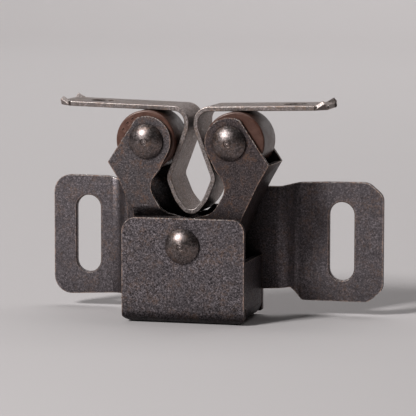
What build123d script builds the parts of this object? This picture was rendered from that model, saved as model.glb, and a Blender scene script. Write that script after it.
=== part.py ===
from build123d import *
import math
import os

# Double roller catch: folded bracket, two sprung arms with rollers on one
# pivot rivet, and the loose spear-shaped strike that sits between the rollers.
# Everything is drawn in millimetres about the pivot rivet (X across, Y depth
# from the front face of the front plate, Z up), then moved so that the origin
# is the centre of the two screw slots on the mounting face of the ears.

# ---- driving dimensions ---------------------------------------------------
SLOT_SPACING = 44.45        # centre to centre of the two screw slots
SLOT_X = 1.19               # middle of the slots, from the pivot
SLOT_Z = -0.38
SLOT_W = 4.3
SLOT_L = 13.3

T = 1.0                     # bracket sheet
PLATE_HALF = 10.43          # front plate
PLATE_TOP = 4.57
FLOOR_BOTTOM = -13.0
FLOOR_HALF = 7.95
FOLD_R = 1.5                # fold radius at mid sheet
FLAP_OUT = 10.25
FLAP_TOP = -2.64
FLAP_FRONT = 1.5
FLAP_BACK = 13.5
WALL_FRONT = 13.6           # back wall
WALL_TOP = 8.9
WALL_BOTTOM = -8.5
EAR_BACK = 17.2             # mounting face of the ears
EAR_LEFT = -27.2
EAR_RIGHT = 30.5
EAR_TOP = 9.74
EAR_BOTTOM = -10.55
NOTCH_HALF_TOP = 6.3
NOTCH_HALF_BOTTOM = 5.0
NOTCH_BOTTOM = 5.5
NOTCH_DIP = 4.5             # dip under the tip of the spear

ARM_T = 0.8                 # arm sheet
ARM_FRONT = 3.2             # outer faces of the two legs
ARM_BACK = 13.35
JOG = 0.85                  # inward set of the lower half of one leg
HEAD_R = 4.15
HEAD_X = 7.08                # middle of the arm heads and of the domed heads
PIN_X = {-1: 7.48, 1: 7.8}   # roller axes, set a little outward of the heads
PIN_Z = 16.93
HEAD_Z = 16.95

PIVOT_R = 1.6
PIVOT_HOLE_R = 1.65
PIN_R = 1.55
PIN_HOLE_R = 1.6
DOME_R = 2.85
DOME_H = 1.5
ROLLER_R = 5.05
ROLLER_FRONT = 4.15
ROLLER_BACK = 12.4

STRIKE_T = 0.8
STRIKE_FRONT = 5.5
STRIKE_BACK = 15.2
STRIKE_HALF = 22.75
STRIKE_HOLE_X = 16.7
STRIKE_HOLE_R = 1.95
PRONG = 1.9                 # length of the folded corners
PRONG_ANGLE = 44.0

SPRING_R = 2.35             # mean radius of the coil
SPRING_WIRE_R = 0.35
SPRING_Z = -7.1
SPRING_TURNS = 7

MID_Y = 0.5 * (ARM_FRONT + ARM_BACK)
ORIGIN = (SLOT_X, EAR_BACK, SLOT_Z)


# ---- 2-D helpers ----------------------------------------------------------
def unit(a, b):
    dx, dy = b[0] - a[0], b[1] - a[1]
    n = math.hypot(dx, dy)
    return dx / n, dy / n


def cross(a, b):
    return a[0] * b[1] - a[1] * b[0]


def offset_line(pts, s):
    """An open polyline moved sideways by s (to the left of its direction)."""
    out = []
    n = len(pts)
    dirs = [unit(pts[i], pts[i + 1]) for i in range(n - 1)]
    for i in range(n):
        if i == 0 or i == n - 1:
            d = dirs[0] if i == 0 else dirs[-1]
            out.append((pts[i][0] - d[1] * s, pts[i][1] + d[0] * s))
        else:
            d0, d1 = dirs[i - 1], dirs[i]
            p0 = (pts[i][0] - d0[1] * s, pts[i][1] + d0[0] * s)
            p1 = (pts[i][0] - d1[1] * s, pts[i][1] + d1[0] * s)
            k = cross(d0, d1)
            if abs(k) < 1e-9:
                out.append(p0)
            else:
                w = (p1[0] - p0[0], p1[1] - p0[1])
                u = cross(w, d1) / k
                out.append((p0[0] + d0[0] * u, p0[1] + d0[1] * u))
    return out


def path(pts, radii, closed=False):
    """Straight runs and tangent arcs through a polyline."""
    n = len(pts)
    corners = []
    for i in range(n):
        r = radii[i] if isinstance(radii, (list, tuple)) else radii
        if (not closed and i in (0, n - 1)) or r <= 0:
            corners.append((pts[i], None, pts[i]))
            continue
        a, p, b = pts[i - 1], pts[i], pts[(i + 1) % n]
        d0, d1 = unit(p, a), unit(p, b)
        dot = max(-1.0, min(1.0, d0[0] * d1[0] + d0[1] * d1[1]))
        half = 0.5 * math.acos(dot)
        if half > math.pi / 2 - 1e-4:
            corners.append((p, None, p))
            continue
        cut = r / math.tan(half)
        s = (p[0] + d0[0] * cut, p[1] + d0[1] * cut)
        e = (p[0] + d1[0] * cut, p[1] + d1[1] * cut)
        bis = (d0[0] + d1[0], d0[1] + d1[1])
        m = math.hypot(*bis)
        c = (p[0] + bis[0] / m * r / math.sin(half), p[1] + bis[1] / m * r / math.sin(half))
        mid = (c[0] - bis[0] / m * r, c[1] - bis[1] / m * r)
        corners.append((s, mid, e))
    segs = []
    count = n if closed else n - 1
    for i in range(n):
        s, mid, e = corners[i]
        if mid is not None:
            segs.append(("A", s, mid, e))
        if i < count:
            nxt = corners[(i + 1) % n][0]
            if math.dist(e, nxt) > 1e-5:
                segs.append(("L", e, nxt))
    return segs


def flip(segs):
    return [(s[0],) + tuple(reversed(s[1:])) for s in reversed(segs)]


def face_of(segs, put):
    edges = []
    for s in segs:
        if s[0] == "L":
            edges.append(Line(put(s[1]), put(s[2])))
        else:
            edges.append(ThreePointArc(put(s[1]), put(s[2]), put(s[3])))
    return make_face(edges)


def in_xz(y):
    return lambda p: (p[0], y, p[1])


def in_xy(z):
    return lambda p: (p[0], p[1], z)


def in_yz(x):
    return lambda p: (x, p[0], p[1])


def prism_y(segs, y0, y1):
    return extrude(face_of(segs, in_xz(y0)), amount=y1 - y0, dir=(0, 1, 0))


def prism_z(segs, z0, z1):
    return extrude(face_of(segs, in_xy(z0)), amount=z1 - z0, dir=(0, 0, 1))


def prism_x(segs, x0, x1):
    return extrude(face_of(segs, in_yz(x0)), amount=x1 - x0, dir=(1, 0, 0))


def band(pts, radii, t):
    """Closed outline of a bent strip of thickness t about its centre line."""
    def side(s):
        off = offset_line(pts, s)
        rr = []
        for i in range(len(pts)):
            r = radii[i] if isinstance(radii, (list, tuple)) else radii
            if 0 < i < len(pts) - 1:
                turn = cross(unit(pts[i - 1], pts[i]), unit(pts[i], pts[i + 1]))
                rr.append(r - s if turn > 0 else r + s)
            else:
                rr.append(0)
        return off, rr
    left, lr = side(t / 2)
    right, rr = side(-t / 2)
    a = path(left, lr)
    b = flip(path(right, rr))
    return a + [("L", left[-1], right[-1])] + b + [("L", right[0], left[0])]


def rod_y(x, z, r, y0, y1):
    return Location((x, y0, z)) * Rot(-90, 0, 0) * Cylinder(
        r, y1 - y0, align=(Align.CENTER, Align.CENTER, Align.MIN))


def block(x0, y0, z0, x1, y1, z1):
    return Location((x0, y0, z0)) * Box(
        x1 - x0, y1 - y0, z1 - z0, align=(Align.MIN, Align.MIN, Align.MIN))


def mirror_x(pts):
    return [(-p[0], p[1]) for p in pts]


def rounded(part, edges, r):
    """Round the given edges a little; leave the part as it is if it can't be done."""
    edges = list(edges)
    if not edges:
        return part
    try:
        new = fillet(edges, r)
        if new.is_valid and new.volume > 0.5 * part.volume:
            return new
    except Exception:
        pass
    print("edges left sharp:", len(edges), r)
    return part


def domed_head(x, z, y_face, out, r=DOME_R, h=DOME_H, lip=0.35):
    """Domed rivet head on the face y = y_face, standing out along sign `out`."""
    rise = h - lip
    big = (r * r + rise * rise) / (2 * rise)
    k = math.asin(r / big) / 2
    top = (0.0, h)
    mid = (big * math.sin(k), h - big + big * math.cos(k))
    outline = [Line((0, 0), (r - 0.1, 0)), Line((r - 0.1, 0), (r, 0.1)), Line((r, 0.1), (r, lip)),
               ThreePointArc((r, lip), mid, top), Line(top, (0, 0))]
    head = revolve(make_face([Edge(e.wrapped) if not isinstance(e, Edge) else e for e in outline]), Axis.Y)
    # a shallow ring left by the riveting tool around the middle of the dome
    ring = Location((0, h - 0.03, 0)) * Rot(-90, 0, 0) * Torus(0.55, 0.09)
    head = head - ring
    if out < 0:
        head = Rot(180, 0, 0) * head
    return Location((x, y_face, z)) * head


# ---- bracket: one folded sheet ---------------------------------------------
def make_bracket():
    mid_wall = WALL_FRONT + T / 2
    mid_floor = FLOOR_BOTTOM + T / 2
    # front plate, floor and tongue of the back wall, folded across the middle
    trough = prism_x(band([(T / 2, -4.0), (T / 2, mid_floor), (mid_wall, mid_floor),
                           (mid_wall, -7.0)], FOLD_R, T), -PLATE_HALF, PLATE_HALF)
    trough = trough - block(-12, 2.3, -14, -FLOOR_HALF, 16, 0) - block(FLOOR_HALF, 2.3, -14, 12, 16, 0)
    low = FLOOR_BOTTOM + 0.75
    for q in (-1, 1):
        # the lower corners of the front plate are cut off before folding
        trough = trough - prism_y(path([(q * PLATE_HALF * 1.01, -11.8), (q * 10.2, -12.3), (q * 8.6, -13.15),
                                        (q * 12, -13.5), (q * 12, -11.8)], [0, 1.2, 0, 0, 0], True), -1, 3)
    plate = prism_y(path([(-PLATE_HALF, PLATE_TOP), (PLATE_HALF, PLATE_TOP), (PLATE_HALF, -9.0), (-PLATE_HALF, -9.0)],
                         [2.4, 2.1, 0, 0], True), 0, T)
    # side flaps, folded up from the floor
    flap_mid = FLAP_OUT - T / 2
    flap_r = flap_mid - FLOOR_HALF
    flaps = []
    for s in (-1, 1):
        pts = [(s * flap_mid, FLAP_TOP), (s * flap_mid, mid_floor), (s * (FLOOR_HALF - 1.0), mid_floor)]
        fold = prism_y(band(pts, flap_r, T), 2.3, 12.6)
        # behind the floor's own fold only the bend of the flap runs on
        tail = prism_y(band(pts, flap_r, T), 12.6, FLAP_BACK)
        tail = tail - block(-FLOOR_HALF - 0.4, 12, -14, FLOOR_HALF + 0.4, 14, 0)
        fold = fold + tail
        side = prism_x(path([(FLAP_FRONT, FLAP_TOP), (FLAP_BACK, FLAP_TOP), (FLAP_BACK, -10.4),
                             (2.3, -10.4), (FLAP_FRONT, -10.0)],
                            [0.5, 0.5, 0, 0, 0.3], True),
                       s * (FLAP_OUT - T), s * FLAP_OUT)
        flaps += [fold, side]
    # back wall and ears, one strip with an S-bend on each side
    mid_ear = EAR_BACK - T / 2
    wall_line = [(EAR_LEFT - 1, mid_ear), (-15.5, mid_ear), (-13.3, mid_wall), (13.6, mid_wall),
                 (15.5, mid_ear), (EAR_RIGHT + 1, mid_ear)]
    wall = prism_z(band(wall_line, [0, 2.6, 1.6, 1.7, 1.7, 0], T), FLOOR_BOTTOM, EAR_TOP + 1)
    outline = path([(EAR_LEFT, EAR_TOP), (-17.6, EAR_TOP - 0.08), (-14.4, WALL_TOP), (-NOTCH_HALF_TOP, WALL_TOP),
                    (-NOTCH_HALF_BOTTOM, NOTCH_BOTTOM), (-1.93, NOTCH_BOTTOM), (-1.1, NOTCH_DIP),
                    (1.1, NOTCH_DIP), (1.93, NOTCH_BOTTOM), (NOTCH_HALF_BOTTOM, NOTCH_BOTTOM),
                    (NOTCH_HALF_TOP, WALL_TOP), (13.4, WALL_TOP), (16.2, 9.45), (21.0, 9.64), (27.9, 9.70), (EAR_RIGHT, 7.5),
                    (EAR_RIGHT, -8.3), (28.0, EAR_BOTTOM), (16.55, EAR_BOTTOM), (14.85, -8.25),
                    (10.3, WALL_BOTTOM), (10.3, low), (FLOOR_HALF - 0.4, low),
                    (FLOOR_HALF - 0.4, -9.0), (-FLOOR_HALF + 0.4, -9.0), (-FLOOR_HALF + 0.4, low),
                    (-10.3, low), (-10.3, WALL_BOTTOM), (-12.5, WALL_BOTTOM), (-14.6, -10.45),
                    (EAR_LEFT, -11.05)],
                   [3.0, 3.5, 3.5, 1.0, 1.2, 0.3, 1.6, 1.6, 0.3, 1.2, 1.0, 3.5, 2.0, 4.0, 2.4, 2.0,
                    2.0, 2.2, 0.6, 0.4, 0, 0.35, 0, 0, 0, 0, 0.35, 0, 0.8, 1.2, 3.1], True)
    wall = wall & prism_y(outline, WALL_FRONT - 2, EAR_BACK + 2)
    body = trough + plate + wall
    for f in flaps:
        body = body + f
    # screw slots in the ears
    r = SLOT_W / 2
    for s in (-1, 1):
        cx = SLOT_X + s * SLOT_SPACING / 2
        half = SLOT_L / 2
        slot = prism_y(path([(cx - r, SLOT_Z - half), (cx + r, SLOT_Z - half),
                             (cx + r, SLOT_Z + half), (cx - r, SLOT_Z + half)], r - 1e-4, True),
                       EAR_BACK - 3, EAR_BACK + 1)
        body = body - slot
        # the punched front edge of the slot is broken
        rim = [e for e in body.edges() if abs(e.center().Y - (EAR_BACK - T)) < 1e-3
               and abs(e.center().X - cx) < r + 0.1 and abs(e.center().Z - SLOT_Z) < half + 0.1]
        try:
            eased = chamfer(rim, 0.16)
            if eased.is_valid:
                body = eased
        except Exception:
            print("slot edge left sharp")
    # holes for the pivot rivet
    body = body - rod_y(0, 0, PIVOT_HOLE_R, -1, T + 1) - rod_y(0, 0, PIVOT_HOLE_R, WALL_FRONT - 1, WALL_FRONT + T + 1)
    return body


# ---- arms -------------------------------------------------------------------
def arm_outline(side):
    """Front view of an arm, drawn on the left and mirrored for the right."""
    if side < 0:
        lower_outer = [(-11.75, 10.3), (-10.6, 7.6), (-10.45, 3.2), (-8.3, 0.6), (-7.2, -2.2), (-7.2, -10.0)]
    else:
        lower_outer = [(-11.95, 10.1), (-10.65, 7.35), (-9.5, 5.0), (-8.75, 3.0), (-7.6, 0.0),
                       (-7.2, -2.2), (-7.2, -10.0)]
    outer = [(-13.7 if side < 0 else -13.8, 13.35)] + lower_outer
    n = len(outer)
    # inner edge from the tail up around the pivot to the neck
    inner = [(-4.3, -10.0), (-3.9, -4.4), (2.9, -4.2), (4.3, 3.6), (-0.9, 4.25), (-4.3, 5.2), (-6.9, 9.6), (-4.85, 12.2)]
    radii_outer = [0.35] + [2.5] * (n - 2) + [0.8]
    radii_inner = [0.8, 2.6, 3.2, 3.4, 2.0, 2.6, 2.9, 2.0]
    # the back leg reaches further in beside the spear
    if side < 0:
        back = inner[:5] + [(-3.7, 5.2), (-4.75, 8.2), (-5.0, 12.6), (-6.9, 11.95), (-4.7, 14.0)]
        radii_back = [0.8, 2.6, 3.2, 3.4, 2.0, 1.2, 2.5, 0.5, 0.35, 0.8]
    else:
        back = inner[:4] + [(0.5, 4.45), (-1.08, 4.53), (-2.1, 5.76), (-4.6, 5.75), (-6.9, 9.6), (-4.85, 12.2)]
        radii_back = [0.8, 2.6, 3.2, 3.0, 1.5, 2.2, 0.2, 2.6, 2.9, 2.0]
    return outer, radii_outer, inner, radii_inner, back, radii_back


def make_arm(side):
    outer, ro, inner, ri, back, rb = arm_outline(side)
    c = (-HEAD_X, HEAD_Z)
    # straight outer edge from the elbow to the head
    top_outer = (-8.88, 20.69)
    # head arc from the outer edge over the top and down the inner side
    a0 = math.atan2(top_outer[1] - c[1], top_outer[0] - c[0])
    a1 = math.radians(-28)
    am = 0.5 * (a0 + a1)
    head_s = (c[0] + HEAD_R * math.cos(a0), c[1] + HEAD_R * math.sin(a0))
    head_m = (c[0] + HEAD_R * math.cos(am), c[1] + HEAD_R * math.sin(am))
    head_e = (c[0] + HEAD_R * math.cos(a1), c[1] + HEAD_R * math.sin(a1))
    segs = path([head_s] + outer + inner + [head_e], [0] + ro + ri + [0]) + [("A", head_e, head_m, head_s)]
    segs_back = path([head_s] + outer + back + [head_e], [0] + ro + rb + [0]) + [("A", head_e, head_m, head_s)]

    def turn(segments):
        if side < 0:
            return segments
        return [(s[0],) + tuple((-p[0], p[1]) for p in s[1:]) for s in segments]

    whole = turn(segs)
    behind = turn(segs_back)
    # the web follows the outer edge below the elbow
    inner_web = offset_line([head_s] + outer, ARM_T)
    web_pts = outer + list(reversed(inner_web[1:]))
    web_r = [0.0] + [2.5] * (len(outer) - 2) + [0] + [0] + [1.7] * (len(outer) - 2) + [0.0]
    web = prism_y(turn(path(web_pts, web_r, True)), ARM_FRONT, ARM_BACK)

    # straight leg and jogged leg
    y_hi = ARM_FRONT + ARM_T / 2
    y_lo = y_hi + JOG
    x0, x1 = -16, 8
    xa, xb = -9.7, -8.0          # where the set-in part runs out sideways

    def jog_line(j):
        return [(y_hi + j, -14), (y_hi + j, 4.6), (y_hi, 5.9), (y_hi, 26)]

    def front_of(j):
        rr = [0, 0, 1.0 - ARM_T / 2, 1.0 + ARM_T / 2, 0, 0]
        return path([(-1, -14)] + offset_line(jog_line(j), ARM_T / 2) + [(-1, 26)], rr, True)

    prism_front = prism_y(whole, ARM_FRONT - 1, ARM_FRONT + 3)
    if side < 0:
        few = 0.02
        slope = loft([face_of(band(jog_line(few), [0, 1.0, 1.0, 0], ARM_T), in_yz(xa)),
                      face_of(band(jog_line(JOG), [0, 1.0, 1.0, 0], ARM_T), in_yz(xb))], ruled=True)
        open_front = loft([face_of(front_of(few), in_yz(xa)), face_of(front_of(JOG), in_yz(xb))], ruled=True)
        front_leg = ((prism_front & prism_x(band(jog_line(JOG), [0, 1.0, 1.0, 0], ARM_T), xb, x1))
                     + (prism_front & slope)
                     + (prism_front & block(x0, ARM_FRONT, -14, xa, ARM_FRONT + ARM_T, 26)))
        back_leg = prism_y(behind, ARM_BACK - ARM_T, ARM_BACK)
    else:
        front_leg = prism_y(whole, ARM_FRONT, ARM_FRONT + ARM_T)
        flipped = [(ARM_FRONT + ARM_BACK - p[0], p[1]) for p in [(y_lo, -14), (y_lo, 4.9), (y_hi, 6.0), (y_hi, 26)]]
        slab = band(flipped, [0, 1.0, 1.0, 0], ARM_T)
        back_leg = prism_y(behind, ARM_BACK - 3, ARM_BACK + 1) & prism_x(slab, -x1, -x0)
        strip = prism_y(behind, ARM_BACK - ARM_T, ARM_BACK) & block(8.75, ARM_BACK - ARM_T, 1.6, 16, ARM_BACK, 12)
        step = prism_y(behind, ARM_BACK - 3, ARM_BACK) & block(8.55, ARM_BACK - ARM_T - JOG, 1.6, 8.95, ARM_BACK, 5.4)
        back_leg = back_leg + strip + step
    arm = front_leg + back_leg + web
    # where a leg is set inward, the web beside it stops at the same depth
    if side < 0:
        arm = arm - open_front - prism_x(front_of(JOG), xb, x1)
    else:
        arm = arm - block(0, ARM_BACK - JOG, -12, 12, ARM_BACK + 0.2, 1.6)
    if side < 0:
        # below the elbow the fold line runs on straight while the web turns down,
        # so the corner between them is a slanted facet
        a, b, d = (-11.42, ARM_FRONT, 9.52), (-8.75, ARM_FRONT, 4.75), (-10.55, ARM_FRONT + 0.62, 4.75)
        u, v = Vector(b) - Vector(a), Vector(d) - Vector(a)
        n = u.cross(v).normalized()
        if n.Y > 0:
            n = n * -1
        facet = Plane(origin=a, z_dir=n) * Box(30, 30, 6, align=(Align.CENTER, Align.CENTER, Align.MIN))
        arm = arm - (facet & block(-13, 0, 1.7, -7.5, 6, 9.52))
    arm = arm - rod_y(0, 0, PIVOT_HOLE_R, ARM_FRONT - 1, ARM_BACK + 1)
    arm = arm - rod_y(side * PIN_X[side], PIN_Z, PIN_R + 0.05, ARM_FRONT - 1, ARM_BACK + 1)
    return arm


# ---- rollers and rivets -------------------------------------------------------
def make_roller(side):
    w = ROLLER_BACK - ROLLER_FRONT
    body = rod_y(0, 0, ROLLER_R, 0, w) - rod_y(0, 0, PIN_HOLE_R, -1, w + 1)
    rims = [e for e in body.edges().filter_by(GeomType.CIRCLE) if e.radius > ROLLER_R - 0.1]
    body = rounded(body, rims, 0.32)
    if side < 0:
        # three small plain dents in the front face near the rim
        for deg in (155.0, 136.5, 121.0):
            a = math.radians(deg)
            dent = Location((4.08 * math.cos(a), 0.0, 4.08 * math.sin(a))) * Rot(0, -deg, 0) * Box(0.5, 0.3, 0.5)
            body = body - dent
    return Location((side * PIN_X[side], ROLLER_FRONT, PIN_Z)) * body


def make_roller_rivet(side):
    x, z = side * PIN_X[side], PIN_Z
    pin = rod_y(x, z, PIN_R, ARM_FRONT, ARM_BACK)
    front = domed_head(side * HEAD_X, z, ARM_FRONT, -1)
    back = domed_head(x, z, ARM_BACK, 1, r=2.4, h=1.0, lip=0.3)
    return pin + front + back


def make_pivot_rivet():
    pin = rod_y(0, 0, PIVOT_R, 0, WALL_FRONT + T)
    shoulder = rod_y(0, 0, 2.4, T, ARM_FRONT - 0.05)
    front = domed_head(0, 0, 0, -1)
    back = domed_head(0, 0, WALL_FRONT + T, 1, r=2.6, h=1.0, lip=0.4)
    return pin + shoulder + front + back


# ---- spring ------------------------------------------------------------------
def make_spring():
    span = 2 * (7.2 - ARM_T - 0.05) - 2 * SPRING_WIRE_R
    pitch = span / SPRING_TURNS
    line = Helix(pitch=pitch, height=span, radius=SPRING_R, center=(-span / 2, MID_Y, SPRING_Z), direction=(1, 0, 0))
    start = line @ 0
    tangent = line % 0
    section = Plane(origin=start, z_dir=tangent) * Circle(SPRING_WIRE_R)
    return sweep(section, path=line, is_frenet=True)


# ---- strike: one bent strip -----------------------------------------------------
def make_strike():
    slope = 0.0267
    z0 = 22.24
    half = [(STRIKE_HALF, z0 + slope * (STRIKE_HALF - 0.62)), (0.8, z0), (0.8, 19.15)]
    # outer outline of the spear, moved inward by half the thickness
    outer = [(1.2, 19.15), (4.34, 10.69), (2.82, 6.94), (0.0, 3.54)]
    centre = offset_line([(1.2, 22)] + outer + [(-2.82, 6.94)], -STRIKE_T / 2)[1:5]
    right = half[:2] + centre
    radii_right = [0, 2.3, 3.0, 2.0, 5.0, 1.7]
    left = [(-p[0], p[1]) for p in reversed(right[:-1])]
    pts = right + left
    radii = radii_right + list(reversed(radii_right[:-1]))
    profile = band(pts, radii, STRIKE_T)
    strike = prism_y(profile, STRIKE_FRONT, STRIKE_BACK)
    rim = [e for e in strike.edges() if abs(e.center().Y - STRIKE_FRONT) < 1e-4 or abs(e.center().Y - STRIKE_BACK) < 1e-4]
    strike = rounded(strike, rim, 0.14)
    # screw holes in the flanges
    mid = 0.5 * (STRIKE_FRONT + STRIKE_BACK)
    for s in (-1, 1):
        strike = strike - Location((s * STRIKE_HOLE_X, mid, 22.7)) * Cylinder(STRIKE_HOLE_R, 4)
    # the four corners are folded up into short prongs
    z_end = z0 + slope * (STRIKE_HALF - PRONG / 2 - 0.62)
    for sx in (-1, 1):
        for sy, y in ((-1, STRIKE_FRONT), (1, STRIKE_BACK)):
            xe, ye = sx * STRIKE_HALF, y
            p1 = (xe - sx * PRONG, ye)
            p2 = (xe, ye - sy * PRONG)
            tri = prism_z(path([p1, p2, (xe + sx * 0.5, ye - sy * PRONG), (xe + sx * 0.5, ye + sy * 0.5), (xe - sx * PRONG, ye + sy * 0.5)],
                               0, True), 20, 26)
            corner = strike & tri
            strike = strike - tri
            d = Vector(p2[0] - p1[0], p2[1] - p1[1], 0).normalized()
            axis = Axis((p1[0], p1[1], z_end), (d.X, d.Y, 0))
            # choose the turn that lifts the corner
            turned = corner.rotate(axis, PRONG_ANGLE)
            if turned.bounding_box().max.Z < corner.bounding_box().max.Z + 0.3:
                turned = corner.rotate(axis, -PRONG_ANGLE)
            length = math.dist(p1, p2)
            fold = Plane(origin=(p1[0], p1[1], z_end), z_dir=(d.X, d.Y, 0)) * Cylinder(
                STRIKE_T / 2, length, align=(Align.CENTER, Align.CENTER, Align.MIN))
            strike = strike + turned + fold
    return strike


# ---- write the pieces -------------------------------------------------------------
os.makedirs("parts", exist_ok=True)
pieces = {
    "bracket": make_bracket(),
    "pivot_rivet": make_pivot_rivet(),
    "left_arm": make_arm(-1),
    "right_arm": make_arm(1),
    "left_roller": make_roller(-1),
    "right_roller": make_roller(1),
    "left_roller_rivet": make_roller_rivet(-1),
    "right_roller_rivet": make_roller_rivet(1),
    "spring": make_spring(),
    "strike": make_strike(),
}
for name, piece in pieces.items():
    moved = piece.moved(Location((-ORIGIN[0], -ORIGIN[1], -ORIGIN[2])))
    solids = moved.solids()
    print(name, len(solids), round(sum(s.volume for s in solids), 2), all(s.is_valid for s in solids))
    export_step(moved, "parts/%s.step" % name)
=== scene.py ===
import math

import bpy
from mathutils import Matrix, Vector


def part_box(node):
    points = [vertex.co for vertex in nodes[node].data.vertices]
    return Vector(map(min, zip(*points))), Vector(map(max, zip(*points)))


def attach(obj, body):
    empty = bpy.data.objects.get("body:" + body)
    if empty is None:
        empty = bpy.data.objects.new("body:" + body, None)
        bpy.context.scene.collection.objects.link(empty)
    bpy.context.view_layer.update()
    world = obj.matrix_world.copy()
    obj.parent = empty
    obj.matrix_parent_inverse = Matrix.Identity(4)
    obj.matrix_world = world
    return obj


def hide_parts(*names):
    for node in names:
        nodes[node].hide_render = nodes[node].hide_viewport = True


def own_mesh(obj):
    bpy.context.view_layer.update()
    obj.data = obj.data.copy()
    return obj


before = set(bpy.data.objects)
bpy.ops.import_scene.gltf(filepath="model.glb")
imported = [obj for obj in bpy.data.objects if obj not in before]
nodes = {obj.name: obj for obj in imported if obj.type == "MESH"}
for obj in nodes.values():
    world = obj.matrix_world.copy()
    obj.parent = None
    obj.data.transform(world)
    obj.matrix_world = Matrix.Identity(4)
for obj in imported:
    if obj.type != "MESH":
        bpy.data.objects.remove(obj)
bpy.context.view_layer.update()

MM = 0.001
# the row frame's origin, seen from the pivot rivet at the front face of the front plate, in mm
OX, OY, OZ = 1.19, 17.2, -0.38


def P(x, y, z):
    """A point given in mm about the pivot rivet, in the row frame in metres."""
    return Vector(((x - OX) * MM, (y - OY) * MM, (z - OZ) * MM))


# ---- node helpers ---------------------------------------------------------
class Tree:
    def __init__(self, name):
        self.mat = bpy.data.materials.new(name)
        self.mat.use_nodes = True
        self.nt = self.mat.node_tree
        self.bsdf = self.nt.nodes["Principled BSDF"]
        coords = self.node("ShaderNodeTexCoord")
        scale = self.node("ShaderNodeMapping")
        scale.inputs["Scale"].default_value = (1000, 1000, 1000)
        self.link(coords.outputs["Object"], scale.inputs["Vector"])
        self.mm = scale.outputs["Vector"]

    def node(self, kind):
        return self.nt.nodes.new(kind)

    def link(self, a, b):
        self.nt.links.new(a, b)

    def stretched(self, sx, sy, sz):
        m = self.node("ShaderNodeMapping")
        m.inputs["Scale"].default_value = (sx, sy, sz)
        self.link(self.mm, m.inputs["Vector"])
        return m.outputs["Vector"]

    def noise(self, scale, detail=2.0, rough=0.55, vec=None, distortion=0.0):
        n = self.node("ShaderNodeTexNoise")
        n.inputs["Scale"].default_value = scale
        n.inputs["Detail"].default_value = detail
        n.inputs["Roughness"].default_value = rough
        n.inputs["Distortion"].default_value = distortion
        self.link(vec or self.mm, n.inputs["Vector"])
        return n.outputs["Fac"]

    def ramp(self, fac, stops, interp="LINEAR"):
        r = self.node("ShaderNodeValToRGB")
        r.color_ramp.interpolation = interp
        els = r.color_ramp.elements
        while len(els) > 1:
            els.remove(els[-1])
        els[0].position = stops[0][0]
        els[0].color = (*self.rgb(stops[0][1]), 1)
        for pos, col in stops[1:]:
            e = els.new(pos)
            e.color = (*self.rgb(col), 1)
        self.link(fac, r.inputs["Fac"])
        return r.outputs["Color"]

    @staticmethod
    def rgb(c):
        return (c, c, c) if isinstance(c, (int, float)) else c

    def mix(self, fac, a, b, blend="MIX"):
        m = self.node("ShaderNodeMix")
        m.data_type = "RGBA"
        m.blend_type = blend
        for s, v in (("Factor", fac),):
            if isinstance(v, (int, float)):
                m.inputs[0].default_value = v
            else:
                self.link(v, m.inputs[0])
        for i, v in ((6, a), (7, b)):
            if hasattr(v, "is_linked"):
                self.link(v, m.inputs[i])
            else:
                m.inputs[i].default_value = (*self.rgb(v), 1)
        return m.outputs[2]

    def math(self, op, a, b=0.0, c=None, clamp=False):
        m = self.node("ShaderNodeMath")
        m.operation = op
        m.use_clamp = clamp
        for i, v in enumerate((a, b) if c is None else (a, b, c)):
            if hasattr(v, "is_linked"):
                self.link(v, m.inputs[i])
            else:
                m.inputs[i].default_value = v
        return m.outputs[0]

    def remap(self, v, a0, a1, b0, b1):
        m = self.node("ShaderNodeMapRange")
        m.clamp = True
        self.link(v, m.inputs["Value"])
        m.inputs["From Min"].default_value = a0
        m.inputs["From Max"].default_value = a1
        m.inputs["To Min"].default_value = b0
        m.inputs["To Max"].default_value = b1
        return m.outputs["Result"]

    def edge(self, radius_mm):
        """1 on outside edges and corners, 0 on open faces."""
        b = self.node("ShaderNodeBevel")
        b.samples = 6
        b.inputs["Radius"].default_value = radius_mm * MM
        g = self.node("ShaderNodeNewGeometry")
        d = self.node("ShaderNodeVectorMath")
        d.operation = "DOT_PRODUCT"
        self.link(b.outputs["Normal"], d.inputs[0])
        self.link(g.outputs["Normal"], d.inputs[1])
        lift = self.node("ShaderNodeSeparateXYZ")
        self.link(b.outputs["Normal"], lift.inputs[0])
        # how far an edge faces up, used to place the painted highlight
        self.up = self.remap(lift.outputs["Z"], 0.05, 0.55, 0.12, 1.0)
        return self.remap(d.outputs["Value"], 0.996, 0.87, 0.0, 1.0)

    def painted_gap_shade(self, reach_mm, low):
        """Painted shade factor: down to `low` in narrow gaps and inside corners, 1 in the open."""
        a = self.node("ShaderNodeAmbientOcclusion")
        a.samples = 6
        a.inputs["Distance"].default_value = reach_mm * MM
        return self.remap(a.outputs["AO"], 0.25, 0.93, low, 1.0)

    def bump(self, height, strength, distance_mm, normal=None):
        b = self.node("ShaderNodeBump")
        b.inputs["Strength"].default_value = strength
        b.inputs["Distance"].default_value = distance_mm * MM
        self.link(height, b.inputs["Height"])
        if normal is not None:
            self.link(normal, b.inputs["Normal"])
        return b.outputs["Normal"]


def shade(c, k):
    return [min(1.0, v * k) for v in c]


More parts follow.
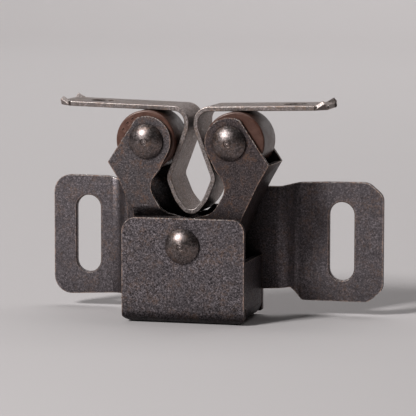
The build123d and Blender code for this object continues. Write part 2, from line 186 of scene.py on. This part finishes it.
def antique_steel(name, tone, brown, worn, rough=(0.42, 0.60), edge_r=0.26, edge_amount=0.85, contrast=1.0,
                  brown_amount=0.5, bump=0.5, grain=2.6, painted_glint_amount=0.5, grazing=None, calm=0.0, gap_shade_reach=6.5):
    """Dark plated steel with a speckled grain, brown blotches and rubbed edges, with painted highlights on the
    up-facing edges and painted shade in the gaps.
    """
    t = Tree(name)
    fine = t.noise(grain, 4.0, 0.72)
    finer = t.noise(grain * 2.3, 2.0, 0.6)
    speck = t.math("MULTIPLY_ADD", finer, 0.42, t.math("MULTIPLY", fine, 0.60))
    c = contrast
    base = t.ramp(speck, [(0.39, shade(tone, 1 - 0.66 * c)), (0.47, shade(tone, 1 - 0.32 * c)), (0.535, shade(tone, 1.05)),
                          (0.60, shade(tone, 1 + 0.75 * c)), (0.67, shade(tone, 1 + 1.9 * c))])
    if calm:
        # the set-back ears are less speckled than the front plate
        split = t.node("ShaderNodeSeparateXYZ")
        t.link(t.mm, split.inputs[0])
        base = t.mix(t.remap(split.outputs["Y"], -6.0, -2.0, 0.0, calm), base, tone)
    # wide, soft change of tone over each piece
    cloud = t.noise(0.16, 3.0, 0.55)
    base = t.mix(t.remap(cloud, 0.35, 0.65, 0.0, 0.35), base, shade(tone, 0.62))
    blot = t.noise(0.5, 4.0, 0.62, distortion=0.4)
    blot2 = t.noise(1.9, 4.0, 0.75)
    brown_fac = t.math("MULTIPLY", t.remap(blot, 0.46, 0.66, 0.0, 1.0), t.remap(blot2, 0.44, 0.60, 0.0, 1.0))
    base = t.mix(t.math("MULTIPLY", brown_fac, brown_amount), base, brown)
    # rubbed edges, broken up by the grain
    near = t.edge(edge_r)
    chips = t.remap(t.noise(1.5, 4.0, 0.8), 0.42, 0.60, 0.04, 1.0)
    e = t.math("MULTIPLY", near, chips)
    base = t.mix(t.math("MULTIPLY", e, edge_amount, clamp=True), base, worn)
    # painted highlight: whitish glints painted into the colour along the edges, mostly on the edges that face up
    # towards the lights
    painted_glint = t.math("MULTIPLY", near, t.remap(t.noise(2.6, 3.0, 0.65), 0.50, 0.56, 0.0, 1.0))
    painted_glint = t.math("MULTIPLY", painted_glint, t.up)
    base = t.mix(t.math("MULTIPLY", painted_glint, painted_glint_amount, clamp=True), base, (0.95, 0.90, 0.86))
    # painted shade: the colour is darkened in the gaps between the sheets and in inside corners, where shade falls
    base = t.mix(1.0, base, t.painted_gap_shade(gap_shade_reach, 0.22), "MULTIPLY")
    t.link(base, t.bsdf.inputs["Base Color"])
    t.bsdf.inputs["Metallic"].default_value = 1.0
    if grazing is not None:
        # the oxide keeps its colour and grain where the strip is seen edge-on
        t.link(t.ramp(speck, [(0.40, shade(grazing, 0.55)), (0.50, shade(grazing, 0.90)), (0.60, shade(grazing, 1.15))]),
               t.bsdf.inputs["Specular Tint"])
    r = t.remap(t.noise(1.3, 4.0, 0.65), 0.32, 0.68, rough[0], rough[1])
    r = t.mix(t.math("MULTIPLY", painted_glint, painted_glint_amount, clamp=True), r, 0.22)
    t.link(r, t.bsdf.inputs["Roughness"])
    h = t.math("MULTIPLY_ADD", fine, 0.75, t.math("MULTIPLY", finer, 0.5))
    t.link(t.bump(h, bump, 0.04), t.bsdf.inputs["Normal"])
    return t.mat


def roller_plastic(name, k):
    t = Tree(name)
    n1 = t.noise(0.9, 4.0, 0.6)
    n2 = t.noise(5.0, 3.0, 0.6)
    col = t.ramp(t.math("MULTIPLY_ADD", n2, 0.35, t.math("MULTIPLY", n1, 0.65)),
                 [(0.30, shade((0.085, 0.036, 0.026), k)), (0.5, shade((0.13, 0.058, 0.042), k)),
                  (0.72, shade((0.19, 0.095, 0.07), k))])
    t.link(t.mix(t.math("MULTIPLY", t.edge(0.25), 0.5), col, (0.26, 0.15, 0.12)), t.bsdf.inputs["Base Color"])
    t.link(t.remap(n1, 0.3, 0.7, 0.26, 0.42), t.bsdf.inputs["Roughness"])
    t.bsdf.inputs["Specular IOR Level"].default_value = 0.45
    t.bsdf.inputs["Specular Tint"].default_value = (1.0, 0.86, 0.80, 1.0)
    t.link(t.bump(n2, 0.12, 0.02), t.bsdf.inputs["Normal"])
    return t.mat


def wire_steel(name):
    t = Tree(name)
    n = t.noise(4.0, 3.0, 0.6)
    t.link(t.ramp(n, [(0.3, (0.22, 0.21, 0.2)), (0.7, (0.42, 0.41, 0.4))]), t.bsdf.inputs["Base Color"])
    t.bsdf.inputs["Metallic"].default_value = 1.0
    t.link(t.remap(n, 0.3, 0.7, 0.25, 0.4), t.bsdf.inputs["Roughness"])
    return t.mat


bracket_mat = antique_steel("bracket_finish", (0.135, 0.118, 0.125), (0.21, 0.135, 0.10), (0.60, 0.41, 0.32),
                            contrast=1.4, grain=3.3, edge_r=0.36, edge_amount=0.95, painted_glint_amount=1.0, calm=0.4)
arm_mat = antique_steel("arm_finish", (0.108, 0.094, 0.097), (0.19, 0.115, 0.085), (0.46, 0.28, 0.20), contrast=1.15,
                        brown_amount=0.8, edge_r=0.36, bump=0.5, grain=3.5, painted_glint_amount=0.95)
# painted shade: the right arm gets a darker copy of the arm finish, on the side away from the key light
right_arm_painted_shade_mat = antique_steel("right_arm_painted_shade_finish", (0.080, 0.065, 0.066), (0.15, 0.088, 0.062), (0.46, 0.28, 0.20),
                              contrast=1.15, brown_amount=0.8, edge_r=0.36, bump=0.5, grain=3.5, painted_glint_amount=0.95)
rivet_mat = antique_steel("rivet_finish", (0.150, 0.126, 0.122), (0.26, 0.17, 0.13), (0.36, 0.24, 0.19),
                          rough=(0.30, 0.45), brown_amount=0.75, edge_amount=0.4, bump=0.28, contrast=0.9, painted_glint_amount=0.1)
strike_mat = antique_steel("strike_finish", (0.27, 0.235, 0.225), (0.27, 0.18, 0.13), (0.44, 0.32, 0.26),
                           rough=(0.34, 0.50), brown_amount=0.7, bump=0.5, contrast=0.9, painted_glint_amount=1.0, edge_r=0.30,
                           edge_amount=0.85, grain=3.4, gap_shade_reach=1.2, grazing=(1.0, 0.95, 0.92))
roller_mat = roller_plastic("roller_plastic", 0.62)
# painted shade: the right roller gets a darker copy of the roller plastic, on the side away from the key light
right_roller_painted_shade_mat = roller_plastic("right_roller_painted_shade_plastic", 0.5)
spring_mat = wire_steel("spring_steel")

LOOK = {
    "bracket": bracket_mat, "pivot_rivet": rivet_mat, "left_arm": arm_mat, "right_arm": right_arm_painted_shade_mat,
    "left_roller": roller_mat, "right_roller": right_roller_painted_shade_mat, "left_roller_rivet": rivet_mat,
    "right_roller_rivet": rivet_mat, "spring": spring_mat, "strike": strike_mat,
}
for name, obj in nodes.items():
    obj.data.materials.clear()
    obj.data.materials.append(LOOK[name])
    # the turned heads, the coil and the strip keep the edges that they have
    if name in ("spring", "strike") or "rivet" in name:
        continue
    weld = obj.modifiers.new("weld", "WELD")
    weld.merge_threshold = 2e-6
    bev = obj.modifiers.new("soft_edges", "BEVEL")
    bev.width = 0.00012 if "roller" not in name else 0.00006
    bev.segments = 2
    bev.limit_method = "ANGLE"
    bev.angle_limit = math.radians(38)
    bev.harden_normals = False
    bev.use_clamp_overlap = True

# ---- the coil between the tails of the arms, drawn with closed ends ------------
def coil(name, centre, half, radius, wire, turns):
    """A compression coil along X; its first and last turn lie almost flat."""
    steps, sides = 28 * turns, 10
    pitch = [1.0 if 1.0 <= i * turns / steps <= turns - 1.0 else 0.42 for i in range(steps)]
    run = sum(pitch)
    x, line = -half + wire, []
    for i in range(steps + 1):
        a = 2 * math.pi * i * turns / steps
        line.append(Vector((x, radius * math.cos(a), radius * math.sin(a))))
        if i < steps:
            x += 2 * (half - wire) * pitch[i] / run
    verts, faces = [], []
    for i, p in enumerate(line):
        ahead = (line[min(i + 1, steps)] - line[max(i - 1, 0)]).normalized()
        out = Vector((0, p.y, p.z)).normalized()
        side = ahead.cross(out).normalized()
        for k in range(sides):
            b = 2 * math.pi * k / sides
            v = p + out * wire * math.cos(b) + side * wire * math.sin(b)
            verts.append(P(v.x + centre[0], v.y + centre[1], v.z + centre[2]))
    for i in range(steps):
        for k in range(sides):
            n = (k + 1) % sides
            faces.append((i * sides + k, i * sides + n, (i + 1) * sides + n, (i + 1) * sides + k))
    faces.append(tuple(reversed(range(sides))))
    faces.append(tuple(steps * sides + k for k in range(sides)))
    me = bpy.data.meshes.new(name)
    me.from_pydata(verts, [], faces)
    for p in me.polygons:
        p.use_smooth = True
    ob = bpy.data.objects.new(name, me)
    bpy.context.scene.collection.objects.link(ob)
    me.materials.append(spring_mat)
    return ob


spring_coil = coil("spring_coil", (0.0, 8.275, -7.1), 6.3, 2.35, 0.35, 7)
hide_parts("spring")
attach(spring_coil, "base")
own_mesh(spring_coil)

# ---- floor, light and camera ------------------------------------------------
floor_z = min(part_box(n)[0].z for n in nodes)


def cyclorama():
    """A pale floor that curves up into a backdrop."""
    prof = [(-6.0, 0.0), (0.0, 0.0), (0.9, 0.0)]
    r = 0.5
    for i in range(1, 17):
        a = math.pi / 2 * i / 16
        prof.append((0.9 + r * math.sin(a), r - r * math.cos(a)))
    prof.append((1.4, 4.0))
    verts, faces = [], []
    for x in (-7.0, 7.0):
        for y, z in prof:
            verts.append((x, y, floor_z + z))
    n = len(prof)
    for i in range(n - 1):
        faces.append((i, i + 1, n + i + 1, n + i))
    me = bpy.data.meshes.new("floor")
    me.from_pydata(verts, [], faces)
    ob = bpy.data.objects.new("floor", me)
    bpy.context.scene.collection.objects.link(ob)
    for p in me.polygons:
        p.use_smooth = True
    m = bpy.data.materials.new("floor_paper")
    m.use_nodes = True
    b = m.node_tree.nodes["Principled BSDF"]
    # painted shade: the paper is coloured darker towards the front, where the key light falls on it, and paler
    # towards the back, so that it looks evenly lit
    coords = m.node_tree.nodes.new("ShaderNodeTexCoord")
    split = m.node_tree.nodes.new("ShaderNodeSeparateXYZ")
    far = m.node_tree.nodes.new("ShaderNodeMapRange")
    far.inputs["From Min"].default_value = 0.0
    far.inputs["From Max"].default_value = 1.1
    tone = m.node_tree.nodes.new("ShaderNodeValToRGB")
    tone.color_ramp.elements[0].color = (0.425, 0.402, 0.402, 1)
    tone.color_ramp.elements[1].color = (0.77, 0.735, 0.735, 1)
    m.node_tree.links.new(coords.outputs["Object"], split.inputs[0])
    m.node_tree.links.new(split.outputs["Y"], far.inputs["Value"])
    m.node_tree.links.new(far.outputs["Result"], tone.inputs["Fac"])
    m.node_tree.links.new(tone.outputs["Color"], b.inputs["Base Color"])
    b.inputs["Roughness"].default_value = 0.95
    b.inputs["Specular IOR Level"].default_value = 0.1
    me.materials.append(m)
    return ob


cyclorama()


def dark_card():
    """A black card to the right of the object, out of view, that the right-facing bends mirror."""
    x, y0, y1, z1 = 0.16, -0.20, 0.07, 0.22
    me = bpy.data.meshes.new("dark_card")
    me.from_pydata([(x, y0, floor_z + 0.001), (x, y1, floor_z + 0.001), (x, y1, z1), (x, y0, z1)], [], [(0, 1, 2, 3)])
    ob = bpy.data.objects.new("dark_card", me)
    bpy.context.scene.collection.objects.link(ob)
    m = bpy.data.materials.new("black_felt")
    m.use_nodes = True
    b = m.node_tree.nodes["Principled BSDF"]
    b.inputs["Base Color"].default_value = (0.008, 0.008, 0.008, 1)
    b.inputs["Roughness"].default_value = 1.0
    me.materials.append(m)
    # only the metal sees it, so it doesn't stand in the way of a view from the side
    ob.visible_camera = False


dark_card()


def area(name, loc, target, size, power, color=(1, 1, 1)):
    l = bpy.data.lights.new(name, "AREA")
    l.shape = "RECTANGLE"
    l.size, l.size_y = size
    l.energy = power
    l.color = color
    o = bpy.data.objects.new(name, l)
    o.location = loc
    o.rotation_mode = "QUATERNION"
    o.rotation_quaternion = (Vector(target) - Vector(loc)).to_track_quat("-Z", "Y")
    bpy.context.scene.collection.objects.link(o)
    return o


centre = P(2, 8, 5)
area("key", P(-365, -545, 480), centre, (0.17, 0.20), 8.2)
area("top", (0.0, 0.55, 0.95), P(0, 500, 0), (1.4, 0.9), 8.0)

world = bpy.data.worlds.new("studio")
bpy.context.scene.world = world
world.use_nodes = True
world.node_tree.nodes["Background"].inputs["Color"].default_value = (0.80, 0.79, 0.79, 1)
world.node_tree.nodes["Background"].inputs["Strength"].default_value = 0.075

bpy.context.scene.view_settings.view_transform = "Standard"
bpy.context.scene.view_settings.look = "None"

# the camera stands where the photograph's stood, 450 mm away
az, el, roll = math.radians(14.5), math.radians(6.336), math.radians(0.086)
target = P(2.302, 8.0, 5.55)
back = Vector((math.sin(az) * math.cos(el), -math.cos(az) * math.cos(el), math.sin(el)))
right = (-back).cross(Vector((0, 0, 1))).normalized()
up = right.cross(-back)
r2 = right * math.cos(roll) + up * math.sin(roll)
u2 = up * math.cos(roll) - right * math.sin(roll)
cam_data = bpy.data.cameras.new("camera")
cam = bpy.data.objects.new("camera", cam_data)
bpy.context.scene.collection.objects.link(cam)
cam.matrix_world = Matrix((
    (r2.x, u2.x, back.x, target.x + back.x * 0.45),
    (r2.y, u2.y, back.y, target.y + back.y * 0.45),
    (r2.z, u2.z, back.z, target.z + back.z * 0.45),
    (0, 0, 0, 1)))
cam_data.sensor_width = 36.0
cam_data.lens = 233.07
cam_data.clip_start = 0.01
cam_data.clip_end = 20
bpy.context.scene.camera = cam
